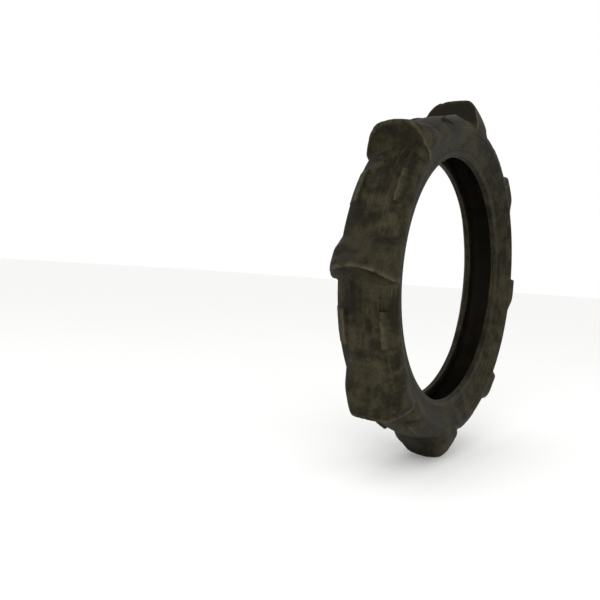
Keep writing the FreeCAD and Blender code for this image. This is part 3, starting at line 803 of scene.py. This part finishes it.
def scoop_drop(along, out):
    """How far the scoop's face lies ahead of the lip, at a point on it."""
    p = paddle_sizes()
    square = (along / p.scoop_width) ** 2 + ((p.lip_radius - out) / p.scoop_height) ** 2
    drop = p.scoop_depth * (1 - math.sqrt(max(0.0, 1 - min(square, 1.0))))
    return p.lead * math.tanh(LEAD_EASE * drop / p.lead)


def paddle_columns():
    """Pairs of matching points across the tire: on the skin and on the paddle's full outline."""
    full = spline_points(LIP_KNOTS, ACROSS)
    skin = list(reversed(skin_half()))
    foot = LIP_KNOTS[-1]
    low_skin = [i for i, point in enumerate(skin) if point[1] < FOOT_BELOW]
    stop = min(low_skin, key=lambda i: math.dist(skin[i], foot))
    base = even_points(skin[:stop + 1], ACROSS)
    columns = []
    for index, (low, high) in enumerate(zip(base, full)):
        share = smooth_step(0.8, 1.0, index / ACROSS)
        columns.append((low, tuple(h + (l - h) * share for l, h in zip(low, high))))
    return [((-a[0], a[1]), (-b[0], b[1])) for a, b in reversed(columns[1:])] + columns


def column_profile(low, high):
    """(place along the tread, share of full height, wear) in one column, from toe to ramp end."""
    p = paddle_sizes()
    height = max(math.dist(low, high), 1e-4)
    corner = min(0.3, p.lip_round / height)
    wing = smooth_step(0.030, 0.058, abs(high[0]))
    fillet = min(0.5, p.toe_fillet / height)

    def face(share):
        along = low[0] + (high[0] - low[0]) * share
        out = low[1] + (high[1] - low[1]) * share
        spread = p.toe_fillet * min(1.0, height / FULL_FILLET)
        return -scoop_drop(along, out) - spread * max(0.0, 1 - share / fillet) ** 2.2

    top = rise_at(face(0.95), wing)
    points = [(face(share), share, 0.0) for share in [fillet * k / 9 for k in range(10)]]
    last = top - corner
    steps = 12
    for k in range(1, steps + 1):
        share = fillet + (last - fillet) * k / steps
        points.append((face(share), share, smooth_step(0.7, 1.0, k / steps)))
    start = face(last)
    crest = start + p.lip_round
    for k in range(1, 6):
        share = k / 6
        bend = 2 * share * (1 - share) * (face(top) - start) * 0.5
        place = start + (crest - start) * share ** 2 + bend
        rise = last + (rise_at(crest, wing) - last) * (2 * share - share ** 2)
        points.append((place, rise, 1.0))
    steps = 34
    for k in range(steps + 1):
        place = crest + (p.ramp_length - crest) * k / steps
        wear = smooth_step(0.007, 0.0, place - crest) * 0.9
        points.append((place, rise_at(place, wing), wear))
    return points


def paddle_grid(seed):
    """Grids of one paddle at the +X position: its surface, its underside, edge wear that is partly a
    painted highlight, and painted shade over the scoop's hollow.
    """
    columns = paddle_columns()
    count = len(column_profile(*columns[0]))
    rows, under, wear, shade = ([[] for _ in range(count)] for _ in range(4))
    for index, (low, high) in enumerate(columns):
        side = abs(index - ACROSS) / ACROSS
        for row, (place, share, rub) in enumerate(column_profile(low, high)):
            skin_out = math.sqrt(low[1] ** 2 - place ** 2)
            skin = Vector((skin_out, low[0], place))
            full = Vector((high[1], high[0], place))
            point = skin + (full - skin) * share
            inward = Vector((-skin_out, -low[0] * 1.2, -place)).normalized()
            sink = EDGE_SINK * smooth_step(0.03, 0.0, share)
            sink += EDGE_SINK * smooth_step(0.96, 1.0, side)
            chip = noise.noise(point * 160 + Vector((seed * 7.3, 0, 0)))
            nick = max(0.0, noise.noise(point * 75 + Vector((0, seed * 5.1, 0))) - 0.25)
            swell = noise.noise(point * 38 + Vector((0, 0, seed * 3.7)))
            loss = rub * (CHIP * chip + NICK * nick)
            loss += SWELL * swell * share
            rows[row].append(tuple(point + inward * (sink + max(loss, -MOST_GAIN))))
            under[row].append(tuple(skin + inward * PADDLE_SINK))
            wear[row].append(min(1.0, rub))
            # painted shade over the hollow face in front of the lip, strongest in the middle of the
            # paddle
            dark = smooth_step(0.003, -0.002, place) * smooth_step(1.0, 0.9, share)
            shade[row].append(dark * smooth_step(1.0, 0.6, side))
    return rows, under, wear, shade


def turned_points(points, angle):
    """Points turned about the axle, +X towards +Z."""
    cosine, sine = math.cos(angle), math.sin(angle)
    return [(x * cosine - z * sine, y, x * sine + z * cosine) for x, y, z in points]


def make_paddles():
    """Every paddle, each with its own wear and its own strength of painted shade in the scoop."""
    p = paddle_sizes()
    for index in range(p.count):
        rows, under, wear, shade = paddle_grid(index + 1)
        vertices, faces = sheet_block(rows, under)
        angle = p.clock + 2 * math.pi * index / p.count
        # strength of the painted shade in this scoop's hollow
        depth = SCOOP_PAINTED_SHADE[index % len(SCOOP_PAINTED_SHADE)]
        blank = [0.0] * (len(vertices) // 2)
        marks = {"wear": [value for row in wear for value in row] + blank,
                 "shade": [value * depth for row in shade for value in row] + blank}
        new_piece(f"scoop_paddle_{index + 1}", turned_points(vertices, angle), faces, paddle_rubber(),
                  [f"paddle_{index + 1}"], marks)


# ---------------------------------------------------------------- shoulder ribs
def rib_height_at(reach, length):
    """Height of a rib across its width: a sharp step at the crown edge, fading to the shoulder."""
    p = paddle_sizes()
    step = smooth_step(-0.0002, 0.0022, reach)
    fade = max(0.0, 1 - reach / length) ** 0.85
    return p.rib_height * step * fade * smooth_step(length, length * 0.8, reach)


RIB_FOOT = 0.006            # height of a rib's lower end above the widest point
RIB_SETTLE = 0.0004         # how far a rib's edges dip into the shoulder
RIB_UNEVEN = 0.0005         # unevenness of a rib's top
RIB_SINK = 0.002            # how deep a rib's underside lies in the shoulder


def make_rib(side, angle, seed):
    """One rib: its vertices, its faces and the wear of each vertex."""
    p = paddle_sizes()
    lowest = sizes().wide_radius + RIB_FOOT
    skin = [point for point in reversed(skin_half()) if point[1] > lowest]
    first = next(i for i, point in enumerate(skin) if point[0] > p.rib_start)
    band = even_points([(p.rib_start, skin[first][1] + 0.0002)] + skin[first:], 26)
    reach = [0.0]
    for here, there in zip(band, band[1:]):
        reach.append(reach[-1] + math.dist(here, there))
    rows, under, wear = [], [], []
    steps = 64
    for step in range(steps + 1):
        share = step / steps
        turn = (share - 0.5) * p.rib_turn
        ends = smooth_step(0.0, 0.06, share) * smooth_step(1.0, 0.94, share)
        rows.append([])
        under.append([])
        wear.append([])
        for index, (along, out) in enumerate(band):
            way = direction_at(band, index)
            normal = Vector((-way.y, way.x)) if way.x > 0 else Vector((way.y, -way.x))
            normal = normal if normal.y > 0 else -normal
            tall = rib_height_at(reach[index], reach[-1]) * ends
            uneven = noise.noise(Vector((turn * 30 + seed, index * 0.3, side)))
            tall -= RIB_SETTLE + RIB_UNEVEN * uneven
            for grid, lift in ((rows, tall), (under, -RIB_SINK)):
                place = (along + normal.x * lift, out + normal.y * lift)
                grid[-1].append((place[1] * math.cos(angle + turn), side * place[0],
                                 place[1] * math.sin(angle + turn)))
            wear[-1].append(smooth_step(0.5, 0.95, tall / p.rib_height))
    vertices, faces = sheet_block(rows, under)
    values = [value for row in wear for value in row]
    return vertices, faces, values + [0.0] * len(values)


def make_ribs():
    """Eight ribs on each shoulder, joined as one piece to a side."""
    p = paddle_sizes()
    for name, side in (("left", 1), ("right", -1)):
        vertices, faces, wear = [], [], []
        for index in range(p.count):
            angle = p.clock + 2 * math.pi * (index + 0.5) / p.count + p.rib_shift
            more, more_faces, values = make_rib(side, angle, index * 3.1 + side)
            base = len(vertices)
            vertices += more
            faces += [tuple(base + corner for corner in face) for face in more_faces]
            wear += values
        new_piece(f"rib_row_{name}", vertices, faces, rib_rubber(), [f"shoulder_ribs_{name}"],
                  {"wear": wear})


# ---------------------------------------------------------------- stage
FLOOR_GAP = 0.0005          # gap between the lowest lip and the floor
FLOOR_HALF = 30.0
# name, place, width, power
LAMPS = (
    ("key", (2.3, 0.6, 1.2), 1.2, 20.0),
    ("side", (0.9, 2.6, 0.3), 1.2, 22.0),
    ("low", (2.2, 0.35, 0.0), 0.66, 12.0),
)
CAMERA_LENS = 37.8
CAMERA_PLACE = (1.2124, 0.5047, -0.0016)
CAMERA_PITCH, CAMERA_HEADING, CAMERA_ROLL = 87.367, 124.87, 3.772   # degrees


def make_stage():
    """Pale seamless floor, soft lights and the camera."""
    scene = bpy.context.scene
    c = colours()
    low = -paddle_sizes().lip_radius - FLOOR_GAP
    half = FLOOR_HALF
    corners = [(-half, -half, low), (half, -half, low), (half, half, low), (-half, half, low)]
    mesh = bpy.data.meshes.new("floor")
    mesh.from_pydata(corners, [], [(0, 1, 2, 3)])
    floor = bpy.data.objects.new("floor", mesh)
    scene.collection.objects.link(floor)
    material, nodes, shader = new_material("studio_floor")
    place = nodes.add("ShaderNodeTexCoord").outputs["Object"]
    faint = nodes.noise(place, 3.0, 3.0)
    tone = nodes.mix(faint, scaled(c.floor, 0.985), c.floor)
    nodes.link(tone, shader.inputs["Base Color"])
    shader.inputs["Roughness"].default_value = 0.9
    mesh.materials.append(material)

    world = bpy.data.worlds.new("studio")
    scene.world = world
    scene.view_settings.view_transform = "Standard"
    world.use_nodes = True
    background = world.node_tree.nodes["Background"]
    background.inputs["Color"].default_value = (1.0, 1.0, 1.0, 1.0)
    background.inputs["Strength"].default_value = 1.0

    for name, place, width, power in LAMPS:
        light = bpy.data.lights.new(name, "AREA")
        light.energy = power
        light.size = width
        lamp = bpy.data.objects.new(name, light)
        lamp.location = place
        lamp.rotation_euler = (-Vector(place)).to_track_quat("-Z", "Y").to_euler()
        scene.collection.objects.link(lamp)

    camera = bpy.data.objects.new("camera", bpy.data.cameras.new("camera"))
    camera.data.lens = CAMERA_LENS
    camera.data.sensor_width = 36.0
    camera.data.clip_start = 0.05
    heading = Euler((math.radians(CAMERA_PITCH), 0.0, math.radians(CAMERA_HEADING))).to_matrix()
    roll = Matrix.Rotation(math.radians(CAMERA_ROLL), 3, "Z")
    camera.matrix_world = Matrix.Translation(CAMERA_PLACE) @ (heading @ roll).to_4x4()
    scene.collection.objects.link(camera)
    scene.camera = camera


# ---------------------------------------------------------------- operators and panel
class TIRE_OT_tread(Operator):
    """Build the smooth outer tread"""
    bl_idname = "tire.tread"
    bl_label = "Tread"

    def execute(self, context):
        make_tread()
        return {"FINISHED"}


class TIRE_OT_sidewalls(Operator):
    """Build both sidewalls with their fine rings"""
    bl_idname = "tire.sidewalls"
    bl_label = "Sidewalls"

    def execute(self, context):
        make_sidewalls()
        return {"FINISHED"}


class TIRE_OT_chafers(Operator):
    """Build the bead feet that sit on the rim"""
    bl_idname = "tire.chafers"
    bl_label = "Bead feet"

    def execute(self, context):
        make_chafers()
        return {"FINISHED"}


class TIRE_OT_liner(Operator):
    """Build the inner liner"""
    bl_idname = "tire.liner"
    bl_label = "Inner liner"

    def execute(self, context):
        make_liner()
        return {"FINISHED"}


class TIRE_OT_paddles(Operator):
    """Build the scooped paddles"""
    bl_idname = "tire.paddles"
    bl_label = "Paddles"

    def execute(self, context):
        make_paddles()
        return {"FINISHED"}


class TIRE_OT_ribs(Operator):
    """Build the short ribs on both shoulders"""
    bl_idname = "tire.ribs"
    bl_label = "Shoulder ribs"

    def execute(self, context):
        make_ribs()
        return {"FINISHED"}


class TIRE_OT_inner(Operator):
    """Give the sealed inner pieces their finishes"""
    bl_idname = "tire.inner"
    bl_label = "Inner pieces"

    def execute(self, context):
        dress_inner_nodes()
        return {"FINISHED"}


class TIRE_OT_stage(Operator):
    """Set up the floor, lights and camera"""
    bl_idname = "tire.stage"
    bl_label = "Stage"

    def execute(self, context):
        make_stage()
        return {"FINISHED"}


OPERATORS = (TIRE_OT_tread, TIRE_OT_sidewalls, TIRE_OT_chafers, TIRE_OT_liner, TIRE_OT_paddles,
             TIRE_OT_ribs, TIRE_OT_inner, TIRE_OT_stage)


class TIRE_PT_panel(Panel):
    """Sizes, colours and pieces of the tire"""
    bl_label = "Sand Paddle Tire"
    bl_space_type = "VIEW_3D"
    bl_region_type = "UI"
    bl_category = "Tire"

    def draw(self, context):
        layout = self.layout
        for group in (sizes(), paddle_sizes(), colours()):
            box = layout.box()
            for name in group.__annotations__:
                box.prop(group, name)
        for operator in OPERATORS:
            layout.operator(operator.bl_idname)


CLASSES = (TireSizes, PaddleSizes, TireColours) + OPERATORS + (TIRE_PT_panel,)


def register():
    for item in CLASSES:
        bpy.utils.register_class(item)
    bpy.types.Scene.tire_sizes = PointerProperty(type=TireSizes)
    bpy.types.Scene.tire_paddles = PointerProperty(type=PaddleSizes)
    bpy.types.Scene.tire_colours = PointerProperty(type=TireColours)


def unregister():
    del bpy.types.Scene.tire_colours
    del bpy.types.Scene.tire_paddles
    del bpy.types.Scene.tire_sizes
    for item in reversed(CLASSES):
        bpy.utils.unregister_class(item)


def main():
    register()
    bpy.ops.tire.tread()
    bpy.ops.tire.sidewalls()
    bpy.ops.tire.chafers()
    bpy.ops.tire.liner()
    bpy.ops.tire.paddles()
    bpy.ops.tire.ribs()
    bpy.ops.tire.inner()
    bpy.ops.tire.stage()


if __name__ == "__main__":
    main()
